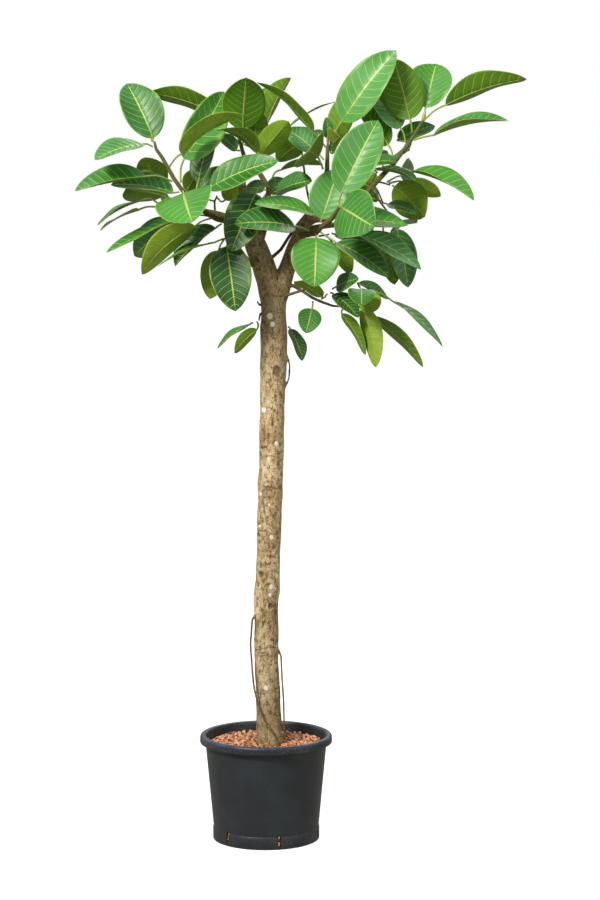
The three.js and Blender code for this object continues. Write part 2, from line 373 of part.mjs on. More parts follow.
// Side shoots: a thin twig on the wood with smaller leaves of its own, all grown together.
const SPRIGS = {
  low_left: {
    twigs: [[[-66, -58, 1355, 2.6], [-80, -56, 1362, 2.4], [-96, -58, 1360, 2]]],
    leaves: [
      { foot: [-94, -58, 1360], base: [-112, -84, 1353], tip: [-240, -118, 1299], width: 56, roll: 88, fold: 8 },
      { foot: [-90, -57, 1361], base: [-104, -42, 1334], tip: [-124, -30, 1226], width: 66, roll: 178 },
    ],
  },
  back_left: {
    twigs: [[[-190, 112, 1432, 3], [-214, 90, 1432, 2.6], [-232, 60, 1430, 2.2]]],
    leaves: [
      { foot: [-228, 66, 1430], base: [-272, 40, 1447], tip: [-374, -22, 1390], width: 66, roll: 84, fold: 8 },
      { foot: [-231, 61, 1430], base: [-284, 20, 1424], tip: [-367, -46, 1378], width: 60, roll: 90, fold: 6 },
      { foot: [-208, 95, 1432], base: [-214, 140, 1452], tip: [-228, 250, 1440], width: 80, roll: 20 },
      { foot: [-199, 104, 1432], base: [-240, 106, 1464], tip: [-266, 24, 1541], width: 72, roll: 170 },
      { foot: [-215, 88, 1432], base: [-228, 86, 1456], tip: [-312, 6, 1469], width: 96, roll: 152, fold: 26 },
      { foot: [-196, 107, 1432], base: [-206, 30, 1400], tip: [-292, 52, 1322], width: 76, roll: 12 },
    ],
  },
  inner_left: {
    twigs: [[[-112, 85, 1423, 3], [-113, 88, 1442, 2.6], [-107, 84, 1456, 2.2]]],
    leaves: [
      { foot: [-112, 87, 1444], base: [-150, 60, 1468], tip: [-82, 52, 1516], width: 54, roll: 30 },
      { foot: [-108, 85, 1454], base: [-90, 60, 1446], tip: [-48, 30, 1504], width: 48, roll: 170 },
      { foot: [-113, 88, 1440], base: [-176, 100, 1466], tip: [-142, 110, 1516], width: 46, roll: 150 },
    ],
  },
  crown: {
    twigs: [[[-52, 12, 1556, 3], [-50, 24, 1572, 2.6], [-44, 34, 1584, 2.2]]],
    leaves: [
      { foot: [-46, 31, 1580], base: [-30, 70, 1608], tip: [6, 112, 1694], width: 52, roll: 20 },
      { foot: [-50, 24, 1572], base: [-25, 10, 1568], tip: [-16, -2, 1646], width: 60, roll: 175 },
      { foot: [-50, 24, 1572], base: [-64, 8, 1556], tip: [-104, 8, 1590], width: 46, roll: 48 },
      { foot: [-45, 33, 1583], base: [-48, 90, 1626], tip: [-60, 190, 1650], width: 84, roll: 10 },
    ],
  },
  middle: {
    twigs: [
      [[0, 16, 1440, 3], [-6, 32, 1446, 2.6], [-12, 46, 1450, 2.2]],
      [[-3, 25, 1443, 2.4], [6, 30, 1466, 2.4], [14, 30, 1490, 2]],
    ],
    leaves: [
      { foot: [7, 30, 1467], base: [24, 6, 1464], tip: [104, -30, 1489], width: 74, roll: 56 },
      { foot: [12, 30, 1486], base: [33, 30, 1513], tip: [128, 58, 1524], width: 72, roll: 102 },
      { foot: [-2, 26, 1444], base: [6, 44, 1462], tip: [50, 62, 1490], width: 48, roll: 34 },
      { foot: [-8, 38, 1447], base: [-2, 60, 1470], tip: [-44, 72, 1474], width: 44, roll: 40 },
      { foot: [-9, 40, 1448], base: [-16, 40, 1424], tip: [44, 34, 1430], width: 40, roll: 50 },
      { foot: [-10, 42, 1449], base: [-24, 100, 1440], tip: [-50, 216, 1416], width: 86, roll: 6 },
    ],
  },
  centre_top: {
    twigs: [
      [[140, 38, 1560, 2.6], [144, 46, 1568, 2.4], [146, 48, 1576, 2]],
      [[143, 43, 1564, 2.4], [150, 26, 1564, 2.2], [151, 6, 1566, 2]],
    ],
    leaves: [
      { foot: [145, 47, 1574], base: [139, 38, 1582], tip: [135, 32, 1629], width: 26, roll: 20 },
      { foot: [144, 46, 1570], base: [136, 66, 1586], tip: [104, 84, 1598], width: 28, roll: 58 },
      { foot: [146, 47, 1575], base: [154, 62, 1584], tip: [196, 90, 1690], width: 62, roll: 165 },
      { foot: [151, 8, 1566], base: [151, -2, 1571], tip: [166, -80, 1586], width: 64, roll: 172, fold: 14 },
      { foot: [143, 44, 1566], base: [150, 60, 1550], tip: [194, 104, 1592], width: 52, roll: 10 },
    ],
  },
  centre_back: {
    twigs: [[[102, 28, 1426, 3], [92, 60, 1470, 3], [84, 86, 1530, 2.6], [78, 96, 1578, 2.2]]],
    leaves: [
      { foot: [80, 93, 1566], base: [56, 100, 1612], tip: [161, 116, 1664], width: 54, roll: 88, fold: 6 },
      { foot: [82, 90, 1550], base: [78, 104, 1572], tip: [26, 124, 1532], width: 62, roll: 150 },
      { foot: [79, 95, 1572], base: [70, 140, 1600], tip: [62, 250, 1590], width: 76, roll: 6 },
    ],
  },
  right_inner: {
    twigs: [
      [[230, 37, 1480, 2.8], [240, 44, 1492, 2.4], [248, 46, 1510, 2]],
      [[236, 40, 1487, 2.4], [251, 38, 1464, 2.2], [262, 22, 1438, 2]],
    ],
    leaves: [
      { foot: [248, 46, 1509], base: [240, 30, 1530], tip: [292, 12, 1531], width: 40, roll: 50 },
      { foot: [247, 45, 1508], base: [246, 8, 1514], tip: [338, -40, 1487], width: 56, roll: 78, fold: 24 },
      { foot: [262, 23, 1440], base: [272, 6, 1437], tip: [336, -24, 1416], width: 48, roll: 58 },
      { foot: [258, 27, 1447], base: [250, 50, 1446], tip: [182, 66, 1467], width: 56, roll: 126 },
      { foot: [240, 43, 1492], base: [240, 66, 1474], tip: [212, 96, 1512], width: 46, roll: 172 },
      { foot: [246, 45, 1505], base: [262, 70, 1530], tip: [252, 120, 1558], width: 34, roll: 10 },
    ],
  },
  right_olive: {
    twigs: [[[244, 30, 1488, 2.6], [262, 38, 1484, 2.4], [278, 40, 1479, 2]]],
    leaves: [
      { foot: [275, 40, 1480], base: [286, 36, 1476], tip: [355, 6, 1409], width: 92, roll: 152, fold: 10 },
      { foot: [270, 39, 1481], base: [318, 66, 1484], tip: [390, 78, 1455], width: 46, roll: 150 },
      { foot: [266, 38, 1483], base: [300, 90, 1500], tip: [330, 190, 1500], width: 80, roll: 14 },
    ],
  },
  back_right: {
    twigs: [[[262, 114, 1394, 3], [272, 116, 1392, 2.6], [284, 112, 1390, 2.2]]],
    leaves: [
      { foot: [268, 115, 1393], base: [262, 96, 1376], tip: [288, 70, 1258], width: 60, roll: 160 },
      { foot: [282, 113, 1390], base: [292, 96, 1382], tip: [318, 78, 1252], width: 66, roll: 14 },
      { foot: [270, 116, 1392], base: [240, 150, 1392], tip: [180, 250, 1370], width: 84, roll: 10 },
      { foot: [283, 112, 1390], base: [300, 160, 1400], tip: [300, 280, 1390], width: 78, roll: 10 },
    ],
  },
  right_sky: {
    twigs: [[[318, 34, 1570, 2.6], [316, 48, 1574, 2.4], [312, 56, 1576, 2]]],
    leaves: [
      { foot: [313, 54, 1576], base: [294, 66, 1580], tip: [376, 96, 1610], width: 50, roll: 40 },
      { foot: [316, 48, 1574], base: [318, 84, 1556], tip: [306, 184, 1560], width: 78, roll: 12 },
    ],
  },
  front_dark: {
    twigs: [[[118, -48, 1366, 2.8], [130, -46, 1368, 2.4], [142, -42, 1370, 2]]],
    leaves: [
      { foot: [140, -43, 1370], base: [154, -34, 1371], tip: [254, -34, 1333], width: 70, roll: 58 },
      { foot: [132, -45, 1368], base: [150, -22, 1350], tip: [190, -8, 1282], width: 50, roll: 150 },
    ],
  },
  low_inner: {
    twigs: [[[124, -30, 1226, 2.4], [131, -34, 1230, 2.2], [138, -38, 1238, 2]]],
    leaves: [
      { foot: [133, -35, 1232], base: [126, -52, 1231], tip: [64, -86, 1266], width: 54, roll: 124, fold: 8 },
      { foot: [137, -38, 1237], base: [158, -48, 1254], tip: [208, -92, 1272], width: 46, roll: 36 },
      { foot: [136, -37, 1235], base: [152, -54, 1238], tip: [208, -90, 1185], width: 50, roll: 44 },
    ],
  },
  low_outer: {
    twigs: [
      [[188, -36, 1210, 2.2], [197, -38, 1212, 2.2], [208, -42, 1216, 2]],
      [[191, -36, 1211, 2.2], [200, -20, 1234, 2.2], [214, -6, 1250, 2]],
    ],
    leaves: [
      { foot: [190, -36, 1210], base: [170, -42, 1194], tip: [224, -58, 1101], width: 54, roll: 118, fold: 8 },
      { foot: [206, -41, 1215], base: [217, -62, 1208], tip: [247, -92, 1073], width: 60, roll: 140, fold: 12 },
      { foot: [200, -39, 1213], base: [240, -26, 1187], tip: [353, -34, 1074], width: 62, roll: 118, fold: 8 },
      { foot: [205, -41, 1215], base: [214, -88, 1248], tip: [214, -150, 1212], width: 64, roll: 0 },
      { foot: [212, -8, 1248], base: [284, -36, 1222], tip: [396, -72, 1120], width: 58, roll: 74, fold: 8 },
      { foot: [213, -7, 1249], base: [208, 8, 1262], tip: [274, 24, 1226], width: 40, roll: 60 },
      { foot: [204, -40, 1215], base: [224, -60, 1244], tip: [240, -104, 1196], width: 54, roll: 174 },
    ],
  },
  stem_left: {
    twigs: [[[-19, -34, 1176, 2.2], [-17, -38, 1172, 2]]],
    leaves: [
      { foot: [-18, -36, 1174], base: [-34, -40, 1171], tip: [-108, -70, 1116], width: 44, roll: 76, fold: 8 },
      { foot: [-17, -37, 1173], base: [-20, -54, 1158], tip: [-70, -104, 1106], width: 38, roll: 140 },
    ],
  },
};

function sprig({ twigs, leaves }) {
  return geometryOf(joined([
    ...twigs.map((line) => solidOf(limb(line, SHOOT_SIDES))),
    ...leaves.map((shape) => solidOf(leaf(shape, false))),
  ]));
}

// ---- finishes ----

const finish = (color, roughness) => new THREE.MeshStandardMaterial({ color, roughness, metalness: 0 });
const FINISHES = {
  plastic: finish(0x23262a, 0.5),
  mix: finish(0x3d2c20, 0.95),
  clay: finish(0xa0593f, 0.9),
  bark: finish(0x8b7352, 0.9),
  leaf: finish(0x3f8f37, 0.4),
};

// ---- assembly ----

const plant = new THREE.Group();

function place(name, geometry, material) {
  const mesh = new THREE.Mesh(geometry, material);
  mesh.name = name;
  plant.add(mesh);
}

place('nursery_pot', pot(), FINISHES.plastic);
place('potting_mix', pottingMix(), FINISHES.mix);
place('clay_granules', clayGranules(), FINISHES.clay);
place('trunk_and_branches', trunkAndBranches(), FINISHES.bark);
Object.entries(LEAVES).forEach(([name, shape]) => place(`leaf_${name}`, leaf(shape), FINISHES.leaf));
Object.entries(SPRIGS).forEach(([name, shape]) => place(`sprig_${name}`, sprig(shape), FINISHES.leaf));

export default plant;
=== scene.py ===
# %% [markdown]
# A rubber fig grown as a small standard tree. A bare woody stem forks into limbs with large oval leaves,
# and the whole plant stands in a black nursery pot topped with clay granules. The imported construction
# model gives every size and place. This lesson makes the fine surfaces around it: blades with veins,
# bark, moulded plastic and loose granules.

# %% Load the construction model
import bmesh
import bpy
import math
import random
from mathutils import Matrix, Quaternion, Vector, noise
from mathutils.bvhtree import BVHTree


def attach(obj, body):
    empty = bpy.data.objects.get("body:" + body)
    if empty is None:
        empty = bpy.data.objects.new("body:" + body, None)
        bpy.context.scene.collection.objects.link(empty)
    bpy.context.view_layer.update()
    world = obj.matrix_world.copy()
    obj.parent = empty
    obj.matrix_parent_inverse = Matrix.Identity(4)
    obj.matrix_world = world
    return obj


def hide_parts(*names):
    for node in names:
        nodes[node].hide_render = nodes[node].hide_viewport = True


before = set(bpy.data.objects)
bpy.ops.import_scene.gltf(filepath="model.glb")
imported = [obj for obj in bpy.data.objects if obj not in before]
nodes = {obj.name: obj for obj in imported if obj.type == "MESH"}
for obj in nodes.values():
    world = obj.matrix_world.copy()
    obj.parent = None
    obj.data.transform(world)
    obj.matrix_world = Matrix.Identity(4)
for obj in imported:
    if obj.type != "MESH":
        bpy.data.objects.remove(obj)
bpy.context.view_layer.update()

# %% [markdown]
# The eye stands six metres in front of the plant, level with the middle of the crown, and looks a little
# down so that the whole plant fits in an upright frame. A long lens keeps the pot and the crown in true
# proportion.

# %% Camera
EYE = Vector((0.077, -6.0, 1.55))
LOOKING_DOWN = math.radians(6.3)
LENS_MM = 107.6

camera = bpy.data.objects.new("camera", bpy.data.cameras.new("camera"))
camera.location = EYE
camera.rotation_euler = (math.radians(90) - LOOKING_DOWN, 0, 0)
camera.data.lens = LENS_MM
camera.data.sensor_width = 36
camera.data.clip_end = 100
bpy.context.scene.collection.objects.link(camera)
bpy.context.scene.camera = camera
print("camera at", camera.location)

# %% [markdown]
# The plant stands on a plain pale floor under soft light: one broad lamp from the upper left and front, a
# weaker one from the right, and a pale sky all round that the glossy leaves mirror.

# %% Floor, sky and lamps
def linked(name, data):
    made = bpy.data.objects.new(name, data)
    bpy.context.scene.collection.objects.link(made)
    return made


def area_lamp(name, place, aim, size, watts, color):
    lamp = linked(name, bpy.data.lights.new(name, "AREA"))
    lamp.data.shape = "DISK"
    lamp.data.size = size
    lamp.data.energy = watts
    lamp.data.color = color
    lamp.location = place
    lamp.rotation_mode = "QUATERNION"
    lamp.rotation_quaternion = (Vector(aim) - Vector(place)).to_track_quat("-Z", "Y")
    return lamp


MIDDLE_OF_CROWN = (0.07, 0, 1.45)
area_lamp("key", (-2.6, -3.6, 4.6), MIDDLE_OF_CROWN, 1.4, 300, (1.0, 0.97, 0.9))
area_lamp("fill", (3.4, -3.2, 2.4), MIDDLE_OF_CROWN, 3.0, 30, (1.0, 0.98, 0.94))
area_lamp("back", (0.6, 3.4, 3.6), MIDDLE_OF_CROWN, 2.4, 60, (1.0, 1.0, 0.92))

world = bpy.data.worlds.new("pale_sky")
bpy.context.scene.world = world
bpy.context.scene.view_settings.view_transform = "Standard"

# %% [markdown]
# Shader maths reads best as plain expressions. This small class wraps one socket of a node tree, so that
# adding or multiplying two of them adds the Math node that does it. Any other node comes from the method
# called node.

# %% Expressions on sockets
class Value:
    def __init__(self, tree, socket):
        self.tree = tree
        self.socket = socket

    def node(self, kind, settings=None, inputs=None, out=0):
        made = self.tree.nodes.new(kind)
        for key, setting in (settings or {}).items():
            if key == "stops":
                ramp = made.color_ramp
                while len(ramp.elements) < len(setting):
                    ramp.elements.new(0.5)
                for element, (position, color) in zip(ramp.elements, setting):
                    element.position = position
                    element.color = (*color, 1)
            else:
                setattr(made, key, setting)
        for key, given in (inputs or {}).items():
            if isinstance(given, Value):
                self.tree.links.new(given.socket, made.inputs[key])
            else:
                made.inputs[key].default_value = given
        return Value(self.tree, made.outputs[out])

    def math(self, operation, *others):
        inputs = {i: other for i, other in enumerate((self, *others))}
        return self.node("ShaderNodeMath", {"operation": operation}, inputs)

    def __add__(self, other): return self.math("ADD", other)
    def __radd__(self, other): return self.math("ADD", other)
    def __mul__(self, other): return self.math("MULTIPLY", other)
    def __rmul__(self, other): return self.math("MULTIPLY", other)
    def __sub__(self, other): return self.math("SUBTRACT", other)
    def __rsub__(self, other): return (self * -1) + other
    def __truediv__(self, other): return self.math("DIVIDE", other)
    def __pow__(self, other): return self.math("POWER", other)
    def abs(self): return self.math("ABSOLUTE")
    def fract(self): return self.math("FRACT")

    def step(self, low, high):
        """0 below low, 1 above high, and a smooth ramp between them; low may be the larger one."""
        settings = {"interpolation_type": "SMOOTHSTEP"}
        inputs = {"Value": self, "From Min": low, "From Max": high}
        return self.node("ShaderNodeMapRange", settings, inputs)

    def noise(self, scale, detail=3.0, roughness=0.55):
        inputs = {"Vector": self, "Scale": scale, "Detail": detail, "Roughness": roughness}
        return self.node("ShaderNodeTexNoise", {}, inputs)

    def cells(self, scale):
        return self.node("ShaderNodeTexVoronoi", {}, {"Vector": self, "Scale": scale})

    def stretched(self, scale):
        return self.node("ShaderNodeMapping", {}, {"Vector": self, "Scale": scale})

    def axis(self, index):
        return self.node("ShaderNodeSeparateXYZ", {}, {0: self}, index)

    def tint(self, low, high):
        """This value as the share of a mix from one colour to another; either may be a Value."""
        colors = {key: c if isinstance(c, Value) else (*c, 1) for key, c in ((6, low), (7, high))}
        return self.node("ShaderNodeMix", {"data_type": "RGBA"}, {0: self, **colors}, 2)


class Finish:
    """A material with one Principled shader, whose sockets are set by name."""

    def __init__(self, name, **fixed):
        self.material = bpy.data.materials.new(name)
        self.material.use_nodes = True
        self.tree = self.material.node_tree
        self.shader = self.tree.nodes["Principled BSDF"]
        for socket, value in fixed.items():
            self.shader.inputs[socket.replace("_", " ")].default_value = value
        coordinates = self.tree.nodes.new("ShaderNodeTexCoord")
        self.place = Value(self.tree, coordinates.outputs["Object"])
        self.uv = Value(self.tree, coordinates.outputs["UV"])

    def read(self, attribute, out="Fac"):
        made = self.tree.nodes.new("ShaderNodeAttribute")
        made.attribute_name = attribute
        return Value(self.tree, made.outputs[out])

    def drive(self, socket, value):
        self.tree.links.new(value.socket, self.shader.inputs[socket])

    def bump(self, height, depth):
        inputs = {"Height": height, "Distance": depth, "Strength": 1.0}
        self.drive("Normal", height.node("ShaderNodeBump", {}, inputs))


print("shader helpers ready")

# %% [markdown]
# The sky is white where the camera sees it and a dimmer, slightly blue dome for everything else. The floor is white
# too, and it is left out of reflections so that the black pot stays black.

# %% Sky and floor surfaces
world.use_nodes = True
sky_tree = world.node_tree
sky_shader = sky_tree.nodes["Background"]
heights = Value(sky_tree, sky_tree.nodes.new("ShaderNodeTexCoord").outputs["Generated"]).axis(2)
SKY_LOW = (0.36, 0.35, 0.29)
SKY_HIGH = (0.44, 0.47, 0.5)
sky = heights.step(-0.1, 0.8).tint(SKY_LOW, SKY_HIGH)
seen = Value(sky_tree, sky_tree.nodes.new("ShaderNodeLightPath").outputs["Is Camera Ray"])
sky_tree.links.new(seen.tint(sky, (1, 1, 1)).socket, sky_shader.inputs["Color"])
sky_shader.inputs["Strength"].default_value = 1.0

floor_mesh = bmesh.new()
FLOOR_HALF = 30
bmesh.ops.create_grid(floor_mesh, x_segments=1, y_segments=1, size=FLOOR_HALF)
floor_data = bpy.data.meshes.new("floor")
floor_mesh.to_mesh(floor_data)
floor_mesh.free()
floor = linked("floor", floor_data)
floor_finish = Finish("pale_floor", Roughness=0.8, Specular_IOR_Level=0.1)
floor_finish.drive("Base Color", floor_finish.place.noise(2.0).tint((0.5, 0.5, 0.49), (0.53, 0.53, 0.52)))
floor_finish.shader.inputs["Emission Color"].default_value = (1, 1, 1, 1)
floor_finish.shader.inputs["Emission Strength"].default_value = 0.85
floor.visible_diffuse = floor.visible_glossy = False
floor.data.materials.append(floor_finish.material)
print("floor", FLOOR_HALF * 2, "m wide")

# %% [markdown]
# Every finished piece goes through one function. It turns a bmesh into an object at the origin, shades it
# smooth, gives it its materials, tells the frame which body it rides on and hides the construction parts it
# stands for.

# %% Finished pieces
def finished(name, shape, materials, replaces=()):
    data = bpy.data.meshes.new(name)
    shape.to_mesh(data)
    shape.free()
    piece = linked(name, data)
    for material in materials:
        data.materials.append(material)
    data.polygons.foreach_set("use_smooth", [True] * len(data.polygons))
    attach(piece, "root")
    for node in replaces:
        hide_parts(node)
    return piece


def merged_copy(node):
    """The shape of a construction part with its loose triangles joined at their corners."""
    shape = bmesh.new()
    shape.from_mesh(nodes[node].data)
    bmesh.ops.remove_doubles(shape, verts=shape.verts, dist=1e-5)
    return shape


print("helpers ready for", len(nodes), "construction parts")

# %% [markdown]
# A leaf in the construction model is a thin skin over four-cornered rings, from the foot of its stalk to
# its tip. The rings say where the midrib runs, where both margins are and which side is the upper one.
# Walking from the tip inwards, ring by ring, gives all of that, and it stops by itself where a sprig's
# twig begins.

# %% Read the leaves out of a construction part
RING = 4
BLADE_RINGS = 6
STALK_WIDTH = 0.008


def walk_from(pole):
    """The rings met on the way inwards from a pole, as lists of four corners."""
    seen_before = {pole}
    layer = [edge.other_vert(pole) for edge in pole.link_edges]
    rings = []
    while len(layer) == RING:
        rings.append(layer)
        seen_before.update(layer)
        beyond = {edge.other_vert(v) for v in layer for edge in v.link_edges} - seen_before
        layer = list(beyond)
    return rings, layer


def spread(ring):
    return max((a.co - b.co).length for a in ring for b in ring)


def leaves_of(shape):
    """Every leaf of a merged part as (rings from tip to foot, tip, what lies beyond the last ring)."""
    found = []
    for pole in shape.verts:
        if len(pole.link_edges) == RING:
            rings, beyond = walk_from(pole)
            if len(rings) >= BLADE_RINGS and spread(rings[0]) > STALK_WIDTH:
                found.append((rings, pole, beyond))
    return found


def split_ring(ring):
    """A blade ring's two margin corners and the middle between its other two."""
    margin = max(((a, b) for a in ring for b in ring), key=lambda pair: (pair[0].co - pair[1].co).length)
    middle = [v.co for v in ring if v not in margin]
    return margin[0].co.copy(), margin[1].co.copy(), (middle[0] + middle[1]) / 2


def read_leaf(rings, pole, beyond):
    tip = pole.co.copy()
    blade = [split_ring(ring) for ring in reversed(rings[:BLADE_RINGS])]
    stalk = [sum((v.co for v in ring), Vector()) / RING for ring in reversed(rings[BLADE_RINGS:])]
    if len(beyond) == 1:
        stalk.insert(0, next(iter(beyond)).co.copy())
    if not stalk:
        stalk = [blade[0][2] + (blade[0][2] - blade[2][2]) * 0.2]
    widest = max(blade, key=lambda b: (b[0] - b[1]).length)
    along = (tip - stalk[-1]).normalized()
    lifted = (widest[0] + widest[1]) / 2 - widest[2]
    side = widest[0] - widest[1]
    side = (side - along * side.dot(along)).normalized()
    up = side.cross(along)
    if up.dot(lifted) < 0:
        side, up = -side, -up
    half = (widest[0] - widest[1]).length / 2
    raised = math.asin(min(0.9, lifted.length / half))
    return {
        "stalk": stalk, "midrib": [stalk[-1], *[b[2] for b in blade], tip], "up": up, "side": side,
        "half": half, "fold": raised,
    }


crown = {}
for name in sorted(nodes):
    if name.startswith(("leaf_", "sprig_")):
        part = merged_copy(name)
        crown[name] = [read_leaf(*found) for found in leaves_of(part)]
        part.free()
print("leaves read:", sum(len(v) for v in crown.values()), "in", len(crown), "parts")

# %% [markdown]
# Each blade is a grid bent along its midrib. The outline swells quickly from the stalk and closes in a
# short blunt tip. Across, the blade is a soft valley whose margins rise by the angle read from the model,
# with a slight wave along them. The first texture coordinate counts the side veins: it runs along the
# blade and lags towards the margins, so lines of equal value leave the midrib at a slant. The second one
# runs from margin to margin.

# %% Blades and stalks
ALONG, ACROSS = 52, 16
VEIN_PAIRS = 9
BLADE_THICKNESS = 0.0007
VALLEY_ROUNDING = 0.16
QUILT_DEPTH = 0.0004
VEIN_SLANT = 0.55
RIPPLES, MARGIN_LAG = 5.5, 1.7
BLADE_KNOTS = (0.0, 0.05, 0.16, 0.34, 0.56, 0.76, 0.91, 1.0)
STALK_RADIUS = 0.0021
STALK_SIDES = 8
LEAF_CHANNELS = ("shade", "splash", "coat_and_painted_sheen", "under")


def half_width(u):
    """The blade's half width at a share of its length, as a share of its greatest half width."""
    body = 2.385 * max(u, 1e-4) ** 0.55 * max(1 - u, 1e-4) ** 0.72
    tip = 0.05 * math.exp(-((1 - u) / 0.03) ** 2) if u > 0.9 else 0
    return max(0.012, min(1.0, body) - tip)


def on_curve(knots, points, t):
    """A smooth curve through the points, at a parameter between the first and last knot."""
    last = len(knots) - 1
    i = min(max(sum(t >= k for k in knots) - 1, 0), last - 1)
    span = knots[i + 1] - knots[i]

    def slope(j):
        low, high = max(j - 1, 0), min(j + 1, last)
        return (points[high] - points[low]) / (knots[high] - knots[low])

    s = (t - knots[i]) / span
    start = points[i] * (2 * s**3 - 3 * s**2 + 1) + slope(i) * span * (s**3 - 2 * s**2 + s)
    return start + points[i + 1] * (3 * s**2 - 2 * s**3) + slope(i + 1) * span * (s**3 - s**2)


def blade_frame(leaf, u):
    place = on_curve(BLADE_KNOTS, leaf["midrib"], u)
    low, high = max(u - 0.02, 0.0), min(u + 0.02, 1.0)
    ahead = on_curve(BLADE_KNOTS, leaf["midrib"], high) - on_curve(BLADE_KNOTS, leaf["midrib"], low)
    ahead.normalize()
    up = leaf["side"].cross(ahead).normalized()
    if up.dot(leaf["up"]) < 0:
        up = -up
    return place, ahead.cross(up), up


def blade(shape, leaf, wave, seed):
    """Adds one blade to the shape. The upper side gets material 0 and the lower side material 1."""
    uv_layer = shape.loops.layers.uv.verify()
    before = set(shape.verts)
    bmesh.ops.create_grid(shape, x_segments=ALONG, y_segments=ACROSS, size=1, calc_uvs=True)
    verts = [v for v in shape.verts if v not in before]
    length = sum((b - a).length for a, b in zip(leaf["midrib"], leaf["midrib"][1:]))
    lag = VEIN_SLANT * leaf["half"] / length
    vein = {}
    frames = {}
    for v in verts:
        u, s = round((v.co.x + 1) / 2, 5), v.co.y
        if u not in frames:
            frames[u] = blade_frame(leaf, u), half_width(u) * leaf["half"]
        (place, side, up), half = frames[u]
        off = s * half
        ease = VALLEY_ROUNDING * leaf["half"]
        lift = math.tan(leaf["fold"]) * (math.hypot(off, ease) - ease)
        ripples = RIPPLES * u * (1.3 + 0.2 * math.sin(seed)) + seed + (MARGIN_LAG if s > 0 else 0)
        ripple = wave * s * s * math.sin(ripples)
        quilt = QUILT_DEPTH * math.cos(2 * math.pi * (VEIN_PAIRS * (u - lag * abs(s) * half_width(u))))
        v.co = place + side * off + up * (lift + ripple * half_width(u) + quilt * (1 - s * s))
        vein[v] = (u - lag * abs(s) * half_width(u) - 0.05 * s ** 4, s / 2 + 0.5)
    faces = list({f for v in verts for f in v.link_faces})
    for face in faces:
        for loop in face.loops:
            loop[uv_layer].uv = vein[loop.vert]
    bmesh.ops.recalc_face_normals(shape, faces=faces)
    if sum((f.normal.dot(leaf["up"]) for f in faces)) < 0:
        bmesh.ops.reverse_faces(shape, faces=faces)
    back = bmesh.ops.solidify(shape, geom=faces, thickness=BLADE_THICKNESS)["geom"]
    for item in back:
        if isinstance(item, bmesh.types.BMFace):
            item.material_index = 1
    verts += [item for item in back if isinstance(item, bmesh.types.BMVert)]
    return verts


def tube(shape, points, radii, sides, material):
    """Adds a round tube along the points, closed at both ends, and gives back its corners."""
    ahead = (points[1] - points[0]).normalized()
    turn = ahead.to_track_quat("Z", "Y")
    posed = Matrix.LocRotScale(points[0], turn, Vector((radii[0],) * 3))
    made = bmesh.ops.create_circle(shape, cap_ends=True, radius=1, segments=sides, matrix=posed)
    every = list(made["verts"])
    face = made["verts"][0].link_faces[0]
    faces = [face]
    for i in range(1, len(points)):
        onward = points[min(i + 1, len(points) - 1)] - points[i - 1]
        now = onward.normalized()
        turn = ahead.rotation_difference(now) @ turn
        ahead = now
        next_pose = Matrix.LocRotScale(points[i], turn, Vector((radii[i],) * 3))
        grown = bmesh.ops.extrude_face_region(shape, geom=[face])["geom"]
        ring = [g for g in grown if isinstance(g, bmesh.types.BMVert)]
        if i > 1 and face.is_valid:
            shape.faces.remove(face)
        bmesh.ops.transform(shape, matrix=next_pose @ posed.inverted(), verts=ring)
        face = next(g for g in grown if isinstance(g, bmesh.types.BMFace))
        every += ring
        posed = next_pose
    walls = {f for v in every for f in v.link_faces}
    for wall in walls:
        wall.material_index = material
    bmesh.ops.recalc_face_normals(shape, faces=list(walls))
    return every
